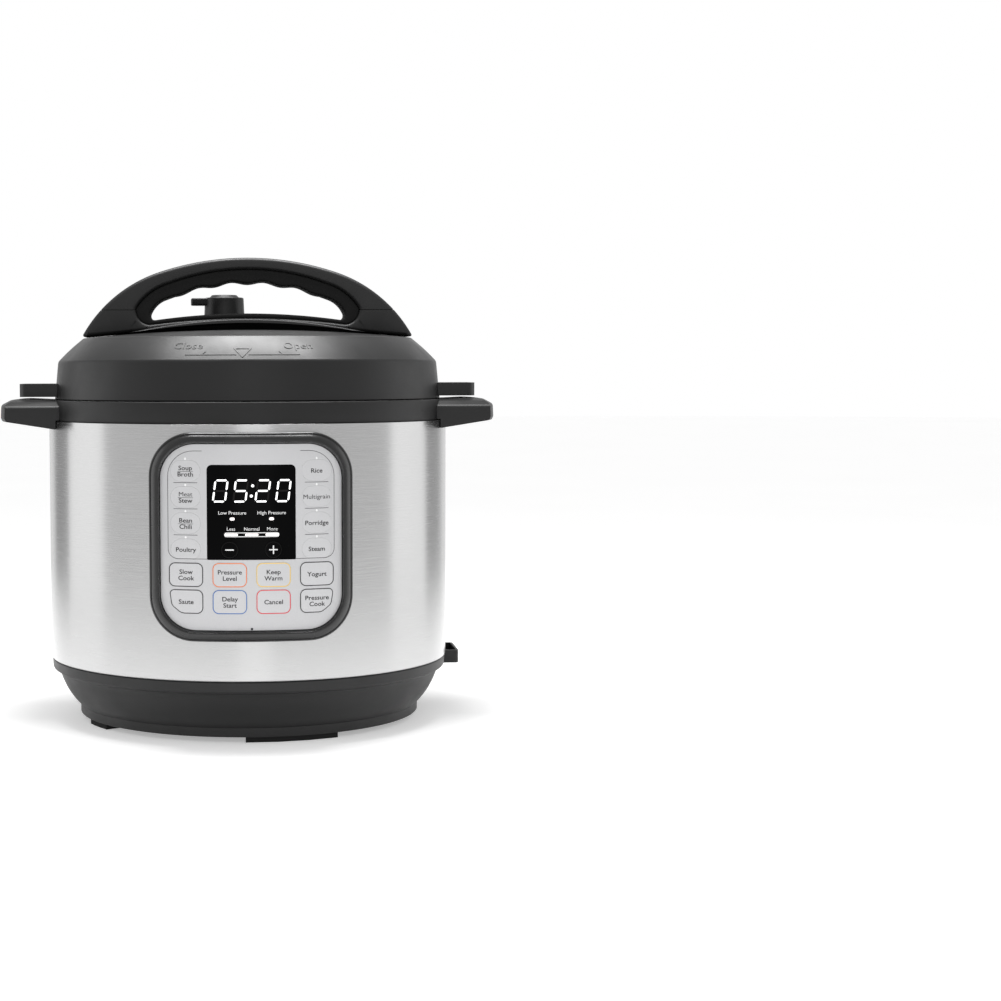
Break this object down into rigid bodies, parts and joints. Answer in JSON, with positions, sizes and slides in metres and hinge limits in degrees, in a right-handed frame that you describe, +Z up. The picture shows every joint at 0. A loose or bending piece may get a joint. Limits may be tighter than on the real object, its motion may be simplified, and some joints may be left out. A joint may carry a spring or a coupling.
{
  "type": "electric pressure cooker",
  "caption": "Round countertop electric pressure cooker with locking lid, arched handle, steam valve, removable inner pot and a front key panel.",
  "frame": {"origin": "on the inner pot's axis, at the bench surface under the feet", "axes": "+Z up; the control panel faces -Y; +X runs to the right seen from the front, through the side handles"},
  "size_m": [0.34, 0.3002, 0.316],
  "materials": {
    "shell_steel": "satin",
    "pot_steel": "satin",
    "lid_steel": "polished",
    "small_steel": "satin",
    "well_metal": "satin",
    "plate_aluminium": "matte",
    "body_plastic": "satin",
    "lid_plastic": "satin",
    "grip_rubber": "matte",
    "bezel_plastic": "satin",
    "overlay_film": "satin",
    "key_film": "satin",
    "display_glass": "gloss",
    "circuit_board": "satin",
    "silicone": "satin",
    "foot_rubber": "matte",
    "clear_plastic": "gloss",
    "blade_brass": "satin"
  },
  "bodies": {
    "base": {"outer_shell": "shell_steel", "top_ring": "body_plastic", "outer_pot": "well_metal", "heating_plate": "plate_aluminium", "heating_element": "small_steel", "sensor_bracket": "small_steel", "sensor_spring": "small_steel", "pressure_switch": "body_plastic", "base_housing": "body_plastic", "bottom_cover": "body_plastic", "foot_front_right": "foot_rubber", "foot_front_left": "foot_rubber", "foot_rear_left": "foot_rubber", "foot_rear_right": "foot_rubber", "accessory_socket": "body_plastic", "inlet_housing": "body_plastic", "power_inlet": "blade_brass", "power_board": "circuit_board", "panel_housing": "body_plastic", "panel_bezel": "bezel_plastic", "panel_overlay": "overlay_film", "display_window": "display_glass", "display_module": "circuit_board", "control_board": "circuit_board"},
    "inner_pot": {"inner_pot": "pot_steel"},
    "seal": {"sealing_ring": "silicone"},
    "lid": {"lid_shell": "lid_plastic", "lid_plate": "lid_steel", "sealing_ring_rack": "small_steel", "handle_lower": "lid_plastic", "handle_upper": "lid_plastic", "handle_grip": "grip_rubber", "steam_pipe": "small_steel", "steam_pipe_nut": "small_steel"},
    "valve_weight": {"valve_weight": "small_steel"},
    "valve_handle": {"valve_handle": "lid_plastic"},
    "float": {"float_valve": "small_steel", "float_cap": "silicone"},
    "locking_pin": {"locking_pin": "small_steel"},
    "shield": {"anti_block_shield": "small_steel"},
    "sensor": {"sensor_cap": "plate_aluminium"},
    "collector": {"condensation_collector": "clear_plastic"},
    "key_soup": {"key_soup": "key_film"},
    "key_stew": {"key_stew": "key_film"},
    "key_beans": {"key_beans": "key_film"},
    "key_poultry": {"key_poultry": "key_film"},
    "key_rice": {"key_rice": "key_film"},
    "key_multigrain": {"key_multigrain": "key_film"},
    "key_porridge": {"key_porridge": "key_film"},
    "key_steam": {"key_steam": "key_film"},
    "key_minus": {"key_minus": "display_glass"},
    "key_plus": {"key_plus": "display_glass"},
    "key_slow_cook": {"key_slow_cook": "key_film"},
    "key_pressure_level": {"key_pressure_level": "key_film"},
    "key_keep_warm": {"key_keep_warm": "key_film"},
    "key_yogurt": {"key_yogurt": "key_film"},
    "key_saute": {"key_saute": "key_film"},
    "key_delay_start": {"key_delay_start": "key_film"},
    "key_cancel": {"key_cancel": "key_film"},
    "key_pressure_cook": {"key_pressure_cook": "key_film"}
  },
  "joints": [
    {"name": "pot_lift", "type": "slide", "parent": "base", "child": "inner_pot", "axis": [0, 0, 1], "range_m": [0, 0.2]},
    {"name": "lid_lift", "type": "slide", "parent": "inner_pot", "child": "seal", "axis": [0, 0, 1], "range_m": [0, 0.12]},
    {"name": "lid_turn", "type": "hinge", "parent": "seal", "child": "lid", "pos_m": [0, 0, 0.215], "axis": [0, 0, 1], "range_deg": [0, 30]},
    {"name": "valve_lift", "type": "slide", "parent": "lid", "child": "valve_weight", "axis": [0, 0, 1], "range_m": [0, 0.03]},
    {"name": "valve_turn", "type": "hinge", "parent": "valve_weight", "child": "valve_handle", "pos_m": [-0.016, 0.042, 0.28], "axis": [0, 0, 1], "range_deg": [-45, 0]},
    {"name": "float_rise", "type": "slide", "parent": "lid", "child": "float", "axis": [0, 0, 1], "range_m": [0, 0.005]},
    {"name": "pin_rise", "type": "slide", "parent": "lid", "child": "locking_pin", "axis": [0, 0, 1], "range_m": [0, 0.003], "stiffness_N_per_m": 200},
    {"name": "shield_pull", "type": "slide", "parent": "lid", "child": "shield", "axis": [0, 0, -1], "range_m": [0, 0.02]},
    {"name": "sensor_press", "type": "slide", "parent": "base", "child": "sensor", "axis": [0, 0, -1], "range_m": [0, 0.003], "stiffness_N_per_m": 400, "deforming": ["sensor_spring"]},
    {"name": "collector_pull", "type": "slide", "parent": "base", "child": "collector", "axis": [0, 1, 0], "range_m": [0, 0.05]},
    {"name": "press_soup", "type": "slide", "parent": "base", "child": "key_soup", "axis": [0, 1, 0], "range_m": [0, 0.0005], "stiffness_N_per_m": 1500},
    {"name": "press_stew", "type": "slide", "parent": "base", "child": "key_stew", "axis": [0, 1, 0], "range_m": [0, 0.0005], "stiffness_N_per_m": 1500},
    {"name": "press_beans", "type": "slide", "parent": "base", "child": "key_beans", "axis": [0, 1, 0], "range_m": [0, 0.0005], "stiffness_N_per_m": 1500},
    {"name": "press_poultry", "type": "slide", "parent": "base", "child": "key_poultry", "axis": [0, 1, 0], "range_m": [0, 0.0005], "stiffness_N_per_m": 1500},
    {"name": "press_rice", "type": "slide", "parent": "base", "child": "key_rice", "axis": [0, 1, 0], "range_m": [0, 0.0005], "stiffness_N_per_m": 1500},
    {"name": "press_multigrain", "type": "slide", "parent": "base", "child": "key_multigrain", "axis": [0, 1, 0], "range_m": [0, 0.0005], "stiffness_N_per_m": 1500},
    {"name": "press_porridge", "type": "slide", "parent": "base", "child": "key_porridge", "axis": [0, 1, 0], "range_m": [0, 0.0005], "stiffness_N_per_m": 1500},
    {"name": "press_steam", "type": "slide", "parent": "base", "child": "key_steam", "axis": [0, 1, 0], "range_m": [0, 0.0005], "stiffness_N_per_m": 1500},
    {"name": "press_minus", "type": "slide", "parent": "base", "child": "key_minus", "axis": [0, 1, 0], "range_m": [0, 0.0005], "stiffness_N_per_m": 1500},
    {"name": "press_plus", "type": "slide", "parent": "base", "child": "key_plus", "axis": [0, 1, 0], "range_m": [0, 0.0005], "stiffness_N_per_m": 1500},
    {"name": "press_slow_cook", "type": "slide", "parent": "base", "child": "key_slow_cook", "axis": [0, 1, 0], "range_m": [0, 0.0005], "stiffness_N_per_m": 1500},
    {"name": "press_pressure_level", "type": "slide", "parent": "base", "child": "key_pressure_level", "axis": [0, 1, 0], "range_m": [0, 0.0005], "stiffness_N_per_m": 1500},
    {"name": "press_keep_warm", "type": "slide", "parent": "base", "child": "key_keep_warm", "axis": [0, 1, 0], "range_m": [0, 0.0005], "stiffness_N_per_m": 1500},
    {"name": "press_yogurt", "type": "slide", "parent": "base", "child": "key_yogurt", "axis": [0, 1, 0], "range_m": [0, 0.0005], "stiffness_N_per_m": 1500},
    {"name": "press_saute", "type": "slide", "parent": "base", "child": "key_saute", "axis": [0, 1, 0], "range_m": [0, 0.0005], "stiffness_N_per_m": 1500},
    {"name": "press_delay_start", "type": "slide", "parent": "base", "child": "key_delay_start", "axis": [0, 1, 0], "range_m": [0, 0.0005], "stiffness_N_per_m": 1500},
    {"name": "press_cancel", "type": "slide", "parent": "base", "child": "key_cancel", "axis": [0, 1, 0], "range_m": [0, 0.0005], "stiffness_N_per_m": 1500},
    {"name": "press_pressure_cook", "type": "slide", "parent": "base", "child": "key_pressure_cook", "axis": [0, 1, 0], "range_m": [0, 0.0005], "stiffness_N_per_m": 1500}
  ]
}
